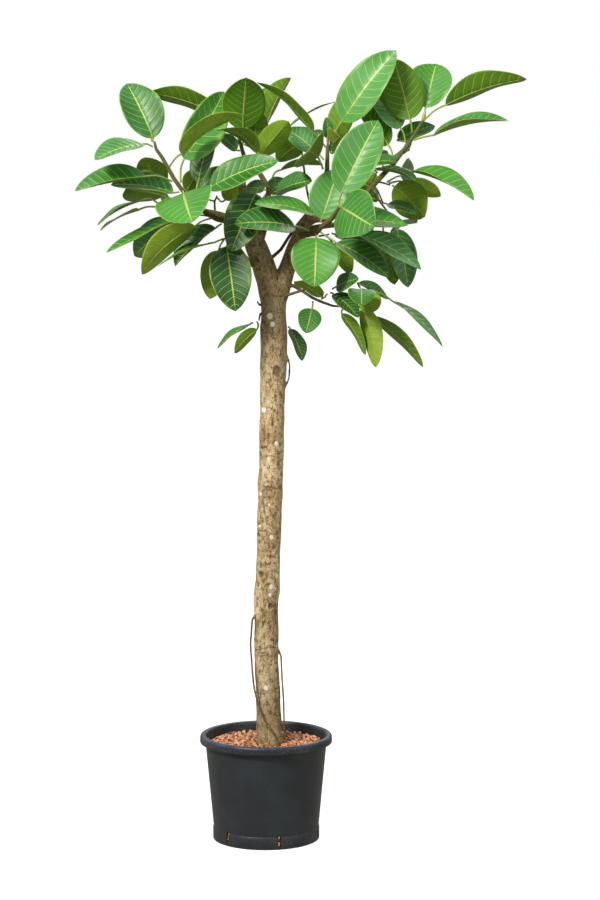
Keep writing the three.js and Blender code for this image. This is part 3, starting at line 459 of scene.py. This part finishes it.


# %% [markdown]
# The leaves of the crown aren't alike. Young ones near the shoot tips are pale and splashed with yellow,
# old ones are deep green, leaves that lie in shade inside the crown are darker as painted shade, and the
# outer ones mirror the sky. Each name below gives a leaf's lightness (its own tone and painted shade), its
# yellow splashes, its gloss with a painted sky sheen, and how olive and how light its underside is (again
# its own tone and painted shade), all from 0 to 1. Leaves without an entry get darker inner-leaf values by
# chance, painted shade for the inside of the crown.

# %% Looks of single leaves
LOOKS = {
    "far_left_top": (0.42, 0.6, 0.45, 0.3), "far_left_rear": (0.4, 0.2, 0.3, 0.35),
    "far_left_out": (0.62, 0.2, 0.9, 0.6), "left_arching": (0.6, 0.2, 0.3, 0.95),
    "left_upright": (0.85, 0.9, 0.7, 0.6), "left_long": (0.6, 0.2, 0.8, 0.5),
    "left_under": (0.4, 0.2, 0.3, 0.6), "left_forward": (0.85, 0.3, 0.5, 0.6),
    "left_across": (0.5, 0.4, 0.4, 0.5), "left_dark": (0.15, 0.1, 0.1, 0.2),
    "low_left_light": (0.75, 0.4, 0.6, 0.8), "low_left_curled": (0.6, 0.3, 0.3, 0.9),
    "low_left_inner": (0.25, 0.1, 0.2, 0.4), "low_left_hanging": (0.2, 0.45, 0.1, 0.3),
    "crown_broad": (0.3, 0.2, 0.2, 0.15), "crown_folded": (0.4, 0.3, 0.2, 0.5),
    "crown_olive": (0.5, 0.5, 0.2, 0.75), "crown_bent": (0.5, 0.4, 0.3, 0.5),
    "middle_mottled": (0.2, 0.9, 0.15, 0.4), "centre_long": (0.75, 0.5, 0.6, 0.5),
    "centre_blue": (0.5, 0.2, 0.95, 0.4), "centre_underside": (0.7, 0.3, 0.3, 0.7),
    "top_glossy": (0.85, 0.6, 0.8, 0.5), "front_round": (0.9, 0.15, 0.3, 0.8),
    "front_left": (0.3, 0.2, 0.5, 0.3), "front_slim": (0.85, 0.3, 0.4, 0.7),
    "front_gloss": (0.85, 0.3, 0.95, 0.5), "front_upright": (0.75, 0.5, 0.75, 0.5),
    "front_forward": (0.65, 0.3, 0.4, 0.5), "front_yellow": (0.9, 0.9, 0.3, 0.8),
    "front_low": (0.5, 0.2, 0.6, 0.5), "front_lowest": (0.45, 0.2, 0.4, 0.5),
    "right_dark": (0.25, 0.2, 0.2, 0.25), "right_top": (0.85, 0.9, 0.6, 0.6),
    "far_right_top": (0.35, 0.4, 0.2, 0.3), "far_right": (0.65, 0.4, 0.6, 0.6),
    "right_blue": (0.5, 0.2, 0.95, 0.4), "right_shade": (0.15, 0.1, 0.1, 0.1),
    "low_round": (0.5, 0.2, 0.2, 0.7), "stem_right": (0.2, 0.1, 0.2, 0.2),
    "right_hanging": (0.85, 0.4, 0.4, 0.6),
}
# Sprig lightness: partly the leaves' own tone, partly painted shade; unlisted inner sprigs get a darker 0.38.
SPRIG_LIGHTNESS = {
    "low_outer": 0.6, "low_left": 0.5, "centre_top": 0.55, "stem_left": 0.6, "right_olive": 0.35,
}


def looks_of(name, chance):
    kind, _, rest = name.partition("_")
    if kind == "leaf":
        return LOOKS[rest]
    light = SPRIG_LIGHTNESS.get(rest, 0.38) + chance.uniform(-0.16, 0.16)
    return light, chance.uniform(0.1, 0.6), chance.uniform(0.1, 0.6), light + chance.uniform(-0.1, 0.3)


def srgb(*levels):
    """A colour given as 0 to 255 on a screen, in the linear values that shaders take."""
    return tuple((v / 255 / 12.92) if v < 10 else ((v / 255 + 0.055) / 1.055) ** 2.4 for v in levels)


print("looks for", len(LOOKS), "single leaves")

# %% [markdown]
# The upper side is a deep green that brightens with the leaf's lightness, partly its own tone and partly
# painted shade. Side veins and midrib are thin and creamy, the margin is yellow-green, and splashed leaves
# carry larger pale areas that follow the veins. A clear coat makes the gloss, and glossy leaves also get pale
# blue-green patches of painted sky reflection. The underside is matte and olive, with paler raised veins;
# its olives are lighter than its own colour, painted light that stands in for light shining through the
# blade, and darker on leaves in shade, as painted shade.

# %% Leaf materials
def veins_of(finish, fine, broad):
    """How much of a side vein, a midrib and a margin there is at a point of the blade."""
    wander = finish.place.noise(55.0, 2.0) - 0.5
    count = finish.uv.axis(0) * VEIN_PAIRS + wander * 0.22
    across = (finish.uv.axis(1) * 2 - 1).abs()
    side = ((count + 0.5).fract() - 0.5).abs().step(fine, fine * 0.2) * across.step(0.99, 0.7)
    small = ((count * 3 + 0.5).fract() - 0.5).abs().step(0.16, 0.02) * across.step(0.95, 0.5)
    return side, small, across.step(broad, broad * 0.35), across


upper = Finish("leaf_upper", Specular_IOR_Level=0.5, Coat_Roughness=0.3)
side, small, rib, across = veins_of(upper, 0.06, 0.055)
shade, splash, coat_and_painted_sheen = upper.read("shade"), upper.read("splash"), upper.read("coat_and_painted_sheen")
cloud = upper.place.noise(28.0, 4.0)
patchy = upper.place.noise(90.0, 3.0)
# Lightness from the shade value: partly the leaf's own tone, partly painted shade on leaves inside the crown.
green = shade.step(0.0, 0.5).tint(srgb(14, 54, 8), srgb(34, 110, 16))
green = shade.step(0.45, 1.0).tint(green, srgb(74, 158, 26))
green = (cloud.step(0.35, 0.7) * 0.45).tint(green, srgb(22, 84, 12))
toward_rib = across.step(0.55, 0.0) * patchy.step(0.3, 0.65) * 0.5
green = (toward_rib * (shade * 0.7 + 0.1)).tint(green, srgb(94, 168, 42))
blotch = (across + (cloud - 0.5) * 1.3).step(0.82, 1.05) * splash
green = (blotch * 0.85).tint(green, srgb(146, 190, 52))
# Painted sky reflection: pale blue-green patches in the base colour of glossy leaves.
painted_sky_sheen = coat_and_painted_sheen * upper.place.noise(14.0, 2.0).step(0.3, 0.62) * 0.5
green = painted_sky_sheen.tint(green, srgb(110, 184, 116))
green = (small * 0.14).tint(green, srgb(140, 186, 80))
green = (side * 0.85).tint(green, srgb(172, 214, 108))
green = (rib * 0.85).tint(green, srgb(206, 214, 118))
green = (across.step(0.95, 0.995) * 0.75).tint(green, srgb(186, 208, 100))
upper.drive("Base Color", green)
upper.drive("Roughness", patchy * 0.12 + 0.4)
upper.drive("Coat Weight", coat_and_painted_sheen * 0.3 + 0.05)
upper.bump(side * -0.6 + rib * -0.8 + small * -0.15, 0.0005)

lower = Finish("leaf_lower", Specular_IOR_Level=0.35)
side, small, rib, across = veins_of(lower, 0.1, 0.06)
under = lower.read("under")
cloud = lower.place.noise(30.0, 4.0)
# Painted light through the blade brightens these olives; a low under value is painted shade on leaves in shade.
olive = under.step(0.0, 0.5).tint(srgb(58, 116, 6), srgb(104, 144, 20))
olive = under.step(0.45, 1.0).tint(olive, srgb(152, 180, 52))
olive = (cloud.step(0.4, 0.75) * 0.5).tint(olive, srgb(80, 122, 14))
olive = (small * 0.22).tint(olive, srgb(140, 168, 80))
olive = (side * 0.6).tint(olive, srgb(170, 194, 88))
olive = (rib * 0.9).tint(olive, srgb(196, 208, 120))
olive = (across.step(0.96, 0.995) * 0.7).tint(olive, srgb(176, 196, 96))
lower.drive("Base Color", olive)
lower.drive("Roughness", cloud * 0.2 + 0.45)
lower.bump(side * 0.8 + rib, 0.0006)

stalk = Finish("leaf_stalk", Specular_IOR_Level=0.4)
streak = stalk.place.noise(120.0, 3.0)
stalk.drive("Base Color", streak.tint(srgb(116, 146, 50), srgb(172, 188, 92)))
stalk.drive("Roughness", streak * 0.2 + 0.35)

twig = Finish("green_twig", Specular_IOR_Level=0.35)
grain = twig.place.stretched((1, 1, 0.3)).noise(140.0, 4.0)
twig.drive("Base Color", grain.step(0.3, 0.7).tint(srgb(86, 82, 44), srgb(132, 134, 76)))
twig.drive("Roughness", grain * 0.3 + 0.5)
twig.bump(grain, 0.0004)
LEAF_MATERIALS = [upper.material, lower.material, stalk.material, twig.material]
print("leaf materials:", [m.name for m in LEAF_MATERIALS])

# %% [markdown]
# A sprig's twig is what remains of the construction part once its leaves are taken out. Voxels a little
# over a millimetre wide turn the faceted remainder into an even skin, which is then smoothed.

# %% Twigs and smoothing
def remeshed(shape, voxel, smoothing):
    """The same shape with an even skin, smoothed that many times. It frees the given shape."""
    data = bpy.data.meshes.new("rough")
    shape.to_mesh(data)
    shape.free()
    rough = linked("rough", data)
    skin = rough.modifiers.new("skin", "REMESH")
    skin.mode = "VOXEL"
    skin.voxel_size = voxel
    soft = rough.modifiers.new("soft", "SMOOTH")
    soft.iterations = smoothing
    depsgraph = bpy.context.evaluated_depsgraph_get()
    even = bpy.data.meshes.new_from_object(rough.evaluated_get(depsgraph))
    bpy.data.objects.remove(rough)
    bpy.data.meshes.remove(data)
    result = bmesh.new()
    result.from_mesh(even)
    bpy.data.meshes.remove(even)
    return result


def twig_of(node):
    part = merged_copy(node)
    gone = set()
    for rings, pole, beyond in leaves_of(part):
        gone.update({pole}, *(ring for ring in rings))
    bmesh.ops.delete(part, geom=list(gone), context="VERTS")
    rim = [edge for edge in part.edges if edge.is_boundary]
    bmesh.ops.holes_fill(part, edges=rim)
    bmesh.ops.recalc_face_normals(part, faces=part.faces)
    return remeshed(part, 0.0011, 2)


# %% [markdown]
# Every leaf gets its blade, and one tube that is the stalk up to the blade and then the raised midrib under it. All
# leaves of a construction part, and its twig if it has one, make one piece.

# %% Build the crown
def add_leaf(shape, leaf, looks, chance):
    seed = chance.uniform(0, 6.28)
    verts = blade(shape, leaf, leaf["half"] * chance.uniform(0.04, 0.1), seed)
    knots = [i / max(len(leaf["stalk"]) - 1, 1) for i in range(len(leaf["stalk"]))]
    path, radii = [], []
    if len(leaf["stalk"]) > 1:
        for i in range(7):
            t = i / 7
            path.append(on_curve(knots, leaf["stalk"], t))
            radii.append(STALK_RADIUS * (1.15 - 0.2 * math.sin(math.pi * t)))
    for i in range(15):
        u = 0.96 * i / 14
        place, side, up = blade_frame(leaf, u)
        path.append(place - up * (0.0007 + 0.0008 * min(1, u * 6) * (1 - u)))
        radii.append(STALK_RADIUS * (1 - 0.82 * u ** 0.6))
    verts += tube(shape, path, radii, STALK_SIDES, 2)
    for channel, value in zip(LEAF_CHANNELS, looks):
        layer = shape.verts.layers.float[channel]
        for v in verts:
            v[layer] = value


for name, leaves in crown.items():
    chance = random.Random(name)
    shape = bmesh.new()
    shape.loops.layers.uv.verify()
    for channel in LEAF_CHANNELS:
        shape.verts.layers.float.new(channel)
    for leaf in leaves:
        add_leaf(shape, leaf, looks_of(name, chance), chance)
    if name.startswith("sprig_"):
        wood = twig_of(name)
        for face in wood.faces:
            face.material_index = 3
        joint = bpy.data.meshes.new("twig")
        wood.to_mesh(joint)
        wood.free()
        shape.from_mesh(joint)
        bpy.data.meshes.remove(joint)
    finished("fine_" + name, shape, LEAF_MATERIALS, [name])
print("crown pieces:", len(crown))

# %% [markdown]
# The wood is one piece of bark from the pot to the shoot tips. Its construction part is cut into a stem
# and a set of limbs, so that each gets voxels fine enough for its own girth. Wherever the wood is thick,
# the facets are smoothed away, and then the bark gets long shallow ridges, ring scars and the raised eyes
# of old branches.

# %% Shape of the bark
FORK_HEIGHT = 1.235
STEM_VOXEL, LIMB_VOXEL = 0.0019, 0.0017
EYES = [  # x, height, radius of old branch scars on the side that faces front
    (0.026, 1.067, 0.013), (0.005, 0.803, 0.008), (-0.010, 0.609, 0.008), (0.011, 0.535, 0.008),
]
LICHENS = [  # x, height, radius of pale crusts
    (0.013, 0.693, 0.005), (0.007, 0.870, 0.004), (-0.012, 0.790, 0.004), (0.008, 0.767, 0.003),
    (-0.013, 0.717, 0.003), (0.012, 0.580, 0.005), (0.009, 0.562, 0.004), (0.010, 1.190, 0.007),
    (0.016, 1.172, 0.006), (-0.004, 0.980, 0.006), (0.024, 0.905, 0.005), (0.000, 0.350, 0.006),
]
ring_chance = random.Random(11)
RING_SCARS = [(ring_chance.uniform(0.25, 1.24), ring_chance.uniform(0, 6.28), ring_chance.uniform(0.6, 1.6))
              for _ in range(46)]
BARK_CHANNELS = ("eye", "lichen", "ring", "girth")


def near(x, low, high):
    """1 below low, 0 above high and a smooth fall between."""
    t = min(max((high - x) / (high - low), 0), 1)
    return t * t * (3 - 2 * t)


def spots(point, table):
    if point.y > 0.005:
        return 0.0
    return max(near(math.hypot(point.x - x, (point.z - z) * 0.8), 0.4 * r, 1.3 * r) for x, z, r in table)


def ring_scar(point):
    around = math.atan2(point.y, point.x - 0.01)
    total = 0.0
    for height, middle, reach in RING_SCARS:
        tilted = point.z - height - 0.004 * math.sin(around * 2 + middle)
        if abs(tilted) < 0.004 and abs(math.remainder(around - middle, 2 * math.pi)) < reach:
            total = max(total, math.exp(-(tilted / 0.0011) ** 2))
    return total


def barked(shape, thick_from, rounds):
    """Smooths the thick parts of a remeshed piece of wood, then displaces and marks its bark."""
    layers = {channel: shape.verts.layers.float.new(channel) for channel in BARK_CHANNELS}
    solid = BVHTree.FromBMesh(shape)
    shape.normal_update()
    girth = {}
    for v in shape.verts:
        hit = solid.ray_cast(v.co - v.normal * 0.0005, -v.normal)
        girth[v] = hit[3] if hit[3] else 0.0
    thick = [v for v in shape.verts if girth[v] > thick_from]
    for _ in range(rounds):
        bmesh.ops.smooth_vert(shape, verts=thick, factor=0.5,
                              use_axis_x=True, use_axis_y=True, use_axis_z=True)
    shape.normal_update()
    for v in shape.verts:
        share = min(girth[v] / 0.05, 1.0)
        eye, ring = spots(v.co, EYES), ring_scar(v.co) * share
        ridges = noise.noise(Vector((v.co.x * 95, v.co.y * 95, v.co.z * 24)))
        lumps = noise.noise(v.co * 22)
        v[layers["eye"]], v[layers["lichen"]] = eye, spots(v.co, LICHENS)
        v[layers["ring"]], v[layers["girth"]] = ring, share
        rim = 4 * eye * (1 - eye)
        lift = share * (0.0009 * ridges + 0.0022 * lumps) - 0.0008 * ring + 0.0016 * rim - 0.0014 * eye * eye
        v.co += v.normal * lift
    return shape


def cut(shape, height, keep_above):
    """Keeps the part above or below a height and closes the cut."""
    every = [*shape.verts, *shape.edges, *shape.faces]
    bmesh.ops.bisect_plane(shape, geom=every, plane_co=(0, 0, height), plane_no=(0, 0, 1),
                           clear_inner=keep_above, clear_outer=not keep_above)
    bmesh.ops.holes_fill(shape, edges=[edge for edge in shape.edges if edge.is_boundary])
    return shape


stem = cut(merged_copy("trunk_and_branches"), FORK_HEIGHT + 0.003, False)
stem = barked(remeshed(stem, STEM_VOXEL, 1), 0.02, 14)
limbs = cut(merged_copy("trunk_and_branches"), FORK_HEIGHT - 0.003, True)
limbs = barked(remeshed(limbs, LIMB_VOXEL, 1), 0.012, 10)
print("bark faces:", len(stem.faces), "and", len(limbs.faces))

# %% [markdown]
# Young bark on the thin shoots is greenish brown. On the stem it is a light tan, mottled at three sizes,
# with dark ring scars, dark eyes and pale crusts. Damp keeps the lowest third darker and greener, and a
# band at the top of the stem, just below the crown, is darker.

# %% Bark material and the wood
bark = Finish("bark", Specular_IOR_Level=0.25)
eye, lichen, ring, girth = (bark.read(channel) for channel in BARK_CHANNELS)
height = bark.place.axis(2)
broad = bark.place.stretched((1, 1, 0.55)).noise(26.0, 5.0, 0.6)
fine = bark.place.stretched((1, 1, 0.7)).noise(130.0, 5.0, 0.65)
specks = bark.place.noise(420.0, 3.0, 0.6)
cracks = bark.place.stretched((1, 1, 0.28)).noise(170.0, 4.0, 0.7)
tan = broad.step(0.3, 0.7).tint(srgb(178, 146, 100), srgb(246, 220, 178))
tan = (fine.step(0.5, 0.64) * 0.85).tint(tan, srgb(104, 78, 46))
tan = (fine.step(0.46, 0.3) * 0.6).tint(tan, srgb(252, 234, 198))
damp = (height + (broad - 0.5) * 0.9).step(0.62, 0.3)
tan = (damp * 0.5).tint(tan, srgb(112, 100, 62))
# The top of the stem, from about 1.02 m up to the fork, is darker.
darker_below_crown = (height + (broad - 0.5) * 0.4).step(1.02, 1.2)
tan = (darker_below_crown * 0.6).tint(tan, srgb(108, 92, 56))
young = girth.step(0.62, 0.16)
shoot = height.step(1.4, 1.52).tint(srgb(112, 96, 60), srgb(112, 136, 58))
tan = (young * 0.85).tint(tan, fine.tint(srgb(84, 74, 40), shoot))
tan = (specks.step(0.54, 0.64) * 0.75).tint(tan, srgb(70, 52, 34))
tan = (cracks.step(0.55, 0.66) * 0.75).tint(tan, srgb(74, 56, 36))
tan = (ring * 0.7).tint(tan, srgb(92, 68, 44))
tan = ((eye + (fine - 0.5) * 0.9).step(0.35, 1.0) * 0.7).tint(tan, srgb(66, 48, 32))
crust = (lichen + (fine - 0.5) * 0.9).step(0.4, 0.6)
tan = (crust * 0.9).tint(tan, srgb(250, 246, 232))
flakes = bark.place.noise(75.0, 4.0, 0.6).step(0.68, 0.72) * (1 - young)
tan = (flakes * 0.8).tint(tan, srgb(222, 212, 184))
bark.drive("Base Color", tan)
bark.drive("Roughness", fine * 0.2 + 0.72)
bark.bump(fine * 0.6 + cracks * -0.7 + specks * 0.3, 0.0022)
finished("stem_bark", stem, [bark.material], ["trunk_and_branches"])
finished("limb_bark", limbs, [bark.material], ["trunk_and_branches"])

# %% [markdown]
# Every shoot tip ends in a pointed bud in its wrapping leaf: a sphere drawn out towards its end.

# %% Buds
BUDS = [  # foot, tip, radius, how red
    ((-0.246, -0.062, 1.574), (-0.250, -0.063, 1.589), 0.0042, 0.15),
    ((-0.060, -0.002, 1.586), (-0.066, -0.002, 1.602), 0.0042, 0.1),
    ((0.139, 0.033, 1.572), (0.138, 0.031, 1.590), 0.0036, 0.9),
    ((0.350, 0.028, 1.619), (0.356, 0.027, 1.648), 0.0056, 0.05),
    ((0.165, -0.114, 1.430), (0.168, -0.117, 1.446), 0.0040, 0.2),
]
bud = Finish("bud_sheath", Specular_IOR_Level=0.45)
redness = bud.read("red")
sheath = bud.place.noise(160.0, 3.0).tint(srgb(150, 168, 60), srgb(206, 204, 110))
bud.drive("Base Color", (redness * 0.8).tint(sheath, srgb(214, 128, 104)))
bud.drive("Roughness", bud.place.noise(90.0) * 0.2 + 0.35)
buds = bmesh.new()
red_layer = buds.verts.layers.float.new("red")
for foot, tip, radius, red in BUDS:
    foot, tip = Vector(foot), Vector(tip)
    turn = (tip - foot).to_track_quat("Z", "Y")
    made = bmesh.ops.create_uvsphere(buds, u_segments=12, v_segments=10, radius=1)["verts"]
    for v in made:
        t = (v.co.z + 1) / 2
        v.co.x *= radius * (1.1 - 0.75 * t)
        v.co.y *= radius * (1.1 - 0.75 * t)
        v.co.z = (tip - foot).length * t
        v.co = foot + turn @ v.co
        v[red_layer] = red
finished("buds", buds, [bud.material])
print("buds:", len(BUDS))

# %% [markdown]
# The pot is turned from its profile. A flat foot ring carries a low band, the wall leans out to the
# rolled rim, and six drain slots are cut through the band. Moulded black plastic is never perfectly
# clean, so the material carries faint streaks and specks of dust near the rim and the foot. The top of
# the rim gets a painted bluish highlight, with a little rubbed wear.

# %% Pot
RIM, NECK, FOOT, HEIGHT, SKIRT, BAND = 0.150, 0.1385, 0.121, 0.240, 0.222, 0.028
WALL, FLOOR = 0.0026, 0.004
POT_STEPS = 128
SLOT_ANGLES = [math.radians(-75 + 60 * k) for k in range(6)]
inner_band = FOOT - 0.0015 - WALL
PROFILE = [
    (0.0, 0.0), (0.030, 0.0), (0.034, FLOOR), (FOOT - 0.024, FLOOR), (FOOT - 0.020, 0.0), (FOOT - 0.002, 0.0),
    (FOOT - 0.0006, 0.0006), (FOOT, 0.002), (FOOT, BAND - 0.0008), (FOOT - 0.0004, BAND),
    (FOOT - 0.0015, BAND + 0.001), (FOOT - 0.0014, BAND + 0.003), (FOOT - 0.0009, BAND + 0.006),
    (FOOT - 0.0002, BAND + 0.014), (NECK - 0.0008, SKIRT), (NECK - 0.0002, HEIGHT - 0.006),
    (NECK + 0.001, HEIGHT - 0.004), (RIM - 0.0044, HEIGHT - 0.0042), (RIM - 0.0032, HEIGHT - 0.006),
    (RIM - 0.003, SKIRT + 0.001), (RIM - 0.0024, SKIRT),
    (RIM - 0.001, SKIRT), (RIM - 0.0002, SKIRT + 0.001), (RIM, SKIRT + 0.003), (RIM - 0.0002, HEIGHT - 0.006),
    (RIM - 0.0010, HEIGHT - 0.0032), (RIM - 0.003, HEIGHT - 0.001), (RIM - 0.0055, HEIGHT),
    (NECK + 0.002, HEIGHT),
    (NECK, HEIGHT - 0.0008), (NECK - 0.0018, HEIGHT - 0.0025), (NECK - WALL, HEIGHT - 0.006),
    (inner_band, BAND), (FOOT - WALL, BAND - 0.004), (FOOT - WALL, FLOOR + WALL), (0.0, FLOOR + WALL),
]
turned = bmesh.new()
corner = bmesh.ops.create_vert(turned, co=(PROFILE[0][0], 0, PROFILE[0][1]))["vert"][0]
for radius, height_here in PROFILE[1:]:
    grown = bmesh.ops.extrude_vert_indiv(turned, verts=[corner])
    corner = grown["verts"][0]
    corner.co = (radius, 0, height_here)
bmesh.ops.spin(turned, geom=[*turned.verts, *turned.edges], cent=(0, 0, 0), axis=(0, 0, 1), angle=2 * math.pi,
               steps=POT_STEPS, use_merge=True)
bmesh.ops.remove_doubles(turned, verts=turned.verts, dist=1e-6)
bmesh.ops.recalc_face_normals(turned, faces=turned.faces)

slots = bmesh.new()
for angle in SLOT_ANGLES:
    pose = Matrix.Rotation(angle, 4, "Z") @ Matrix.Translation((FOOT, 0, FLOOR + WALL + 0.013))
    bmesh.ops.create_cube(slots, size=1, matrix=pose @ Matrix.Diagonal((0.020, 0.008, 0.023, 1)))
slot_data = bpy.data.meshes.new("slots")
slots.to_mesh(slot_data)
slots.free()
slot_cutter = linked("slots", slot_data)
uncut_data = bpy.data.meshes.new("uncut_pot")
turned.to_mesh(uncut_data)
turned.free()
uncut = linked("uncut_pot", uncut_data)
slotting = uncut.modifiers.new("slots", "BOOLEAN")
slotting.operation = "DIFFERENCE"
slotting.object = slot_cutter
slotted = bpy.data.meshes.new_from_object(uncut.evaluated_get(bpy.context.evaluated_depsgraph_get()))
for spare in (uncut, slot_cutter):
    bpy.data.objects.remove(spare)
pot_shape = bmesh.new()
pot_shape.from_mesh(slotted)
for edge in pot_shape.edges:
    if edge.is_manifold and edge.calc_face_angle() > math.radians(38):
        edge.smooth = False
print("pot faces:", len(pot_shape.faces))

plastic = Finish("black_plastic", Specular_IOR_Level=0.5)
height = plastic.place.axis(2)
streaks = plastic.place.stretched((1, 1, 0.12)).noise(34.0, 4.0)
grain = plastic.place.noise(260.0, 3.0)
haze = plastic.place.noise(11.0, 3.0)
black = streaks.tint(srgb(31, 34, 41), srgb(44, 49, 57))
black = (haze.step(0.4, 0.7) * 0.4).tint(black, srgb(54, 62, 70))
dusty = height.step(0.045, 0.012) * 0.25 + height.step(0.205, 0.222) * 0.4
dust = (grain * 0.7 + haze * 0.3 + dusty * 0.12).step(0.55, 0.68) * (dusty + 0.06)
black = (dust * 0.7).tint(black, srgb(132, 118, 96))
# Painted highlight: a bluish band along the top of the rim, with a little rubbed wear.
wear_and_painted_rim_highlight = height.step(0.232, 0.2395) * streaks.step(0.35, 0.6)
black = (wear_and_painted_rim_highlight * 0.6).tint(black, srgb(70, 92, 122))
plastic.drive("Base Color", black)
plastic.drive("Roughness", haze * 0.15 + dust * 0.3 + 0.36)
plastic.bump(grain, 0.00025)
finished("turned_pot", pot_shape, [plastic.material], ["nursery_pot"])

# %% [markdown]
# Fired clay granules lie loose on top of the mix. Each is a small ball pushed out of shape by noise, in
# one of many browns. They sit in a jittered triangular pattern in two layers, clear of the stem.

# %% Granules
GRANULE_PITCH = 0.0080
GRANULE_TOP = 0.218
FIELD = 0.1315
STEM_FOOT_X, STEM_CLEARANCE = 0.009, 0.033
clay = Finish("fired_clay", Specular_IOR_Level=0.3)
hue = clay.read("hue")
pores = clay.place.noise(380.0, 4.0, 0.65)
brown = hue.tint(srgb(176, 108, 72), srgb(240, 184, 142))
brown = (hue.step(0.2, 0.08) * 0.85).tint(brown, srgb(92, 60, 46))
brown = (hue.step(0.9, 1.0) * 0.7).tint(brown, srgb(226, 184, 152))
brown = (pores.step(0.5, 0.75) * 0.5).tint(brown, srgb(112, 62, 42))
brown = (pores.step(0.45, 0.25) * 0.35).tint(brown, srgb(224, 168, 134))
clay.drive("Base Color", brown)
clay.drive("Roughness", pores * 0.2 + 0.75)
clay.bump(pores, 0.0008)
chance = random.Random(4)
granules = bmesh.new()
hue_layer = granules.verts.layers.float.new("hue")


def granule(place, size):
    turn = Quaternion([chance.gauss(0, 1) for _ in range(4)]).normalized()
    squash = Vector((size, size * chance.uniform(0.7, 1), size * chance.uniform(0.6, 0.9)))
    pose = Matrix.LocRotScale(Vector(place), turn, squash)
    seed = Vector((chance.uniform(0, 50), 0, 0))
    tone = chance.random()
    for v in bmesh.ops.create_icosphere(granules, subdivisions=2, radius=1)["verts"]:
        v.co *= 1 + 0.28 * noise.noise(v.co * 1.3 + seed)
        v.co = pose @ v.co
        v[hue_layer] = tone


count = 0
rows = int(FIELD / GRANULE_PITCH) + 2
for layer, sink in ((0, 0.0045), (1, 0.0)):
    for row in range(-rows, rows + 1):
        for column in range(-rows, rows + 1):
            x = (column + 0.5 * (row % 2) + 0.5 * layer + chance.uniform(-0.3, 0.3)) * GRANULE_PITCH
            y = (row * 0.866 + 0.4 * layer + chance.uniform(-0.3, 0.3)) * GRANULE_PITCH
            in_stem = math.hypot(x - STEM_FOOT_X, y) < STEM_CLEARANCE
            if math.hypot(x, y) < FIELD - 0.003 and not in_stem and (layer == 0 or chance.random() > 0.35):
                place = (x, y, GRANULE_TOP - sink + chance.uniform(-0.002, 0.002))
                granule(place, chance.uniform(0.0034, 0.0056))
                count += 1
for angle in SLOT_ANGLES:
    for _ in range(7):
        place = Vector((FOOT - WALL + chance.uniform(-0.0015, 0.0005), chance.uniform(-0.0022, 0.0022),
                        FLOOR + WALL + chance.uniform(0.004, 0.022)))
        granule(Matrix.Rotation(angle, 3, "Z") @ place, chance.uniform(0.0016, 0.0026))
        count += 1
finished("loose_granules", granules, [clay.material])
print("granules:", count)

# %% [markdown]
# The granule bed and the potting mix are shown as they were built, so their own material slots get
# procedural surfaces: clay brown for the bed, darker than the loose granules as painted shade in the gaps
# between them, and dark crumbly earth for the mix that shows in the drain slots.

# %% Finishes of the bed and the mix
earth = Finish("potting_mix", Specular_IOR_Level=0.2)
crumbs = earth.place.noise(170.0, 5.0, 0.65)
soil = crumbs.step(0.3, 0.7).tint(srgb(38, 24, 16), srgb(132, 84, 52))
soil = (earth.place.cells(150.0).step(0.35, 0.1) * 0.6).tint(soil, srgb(176, 108, 68))
earth.drive("Base Color", soil)
earth.drive("Roughness", crumbs * 0.15 + 0.8)
earth.bump(crumbs, 0.002)
bed = Finish("granule_bed", Specular_IOR_Level=0.2)
lumps = bed.place.noise(140.0, 4.0)
# Painted shade: the bed shows only in the gaps between granules, so its brown is darker than theirs.
bed.drive("Base Color", lumps.step(0.3, 0.7).tint(srgb(70, 40, 28), srgb(150, 88, 60)))
bed.drive("Roughness", lumps * 0.1 + 0.85)
bed.bump(lumps, 0.002)
for node, finish in (("potting_mix", earth), ("clay_granules", bed)):
    for material_slot in nodes[node].material_slots:
        material_slot.material = finish.material
print("carried-over parts finished")
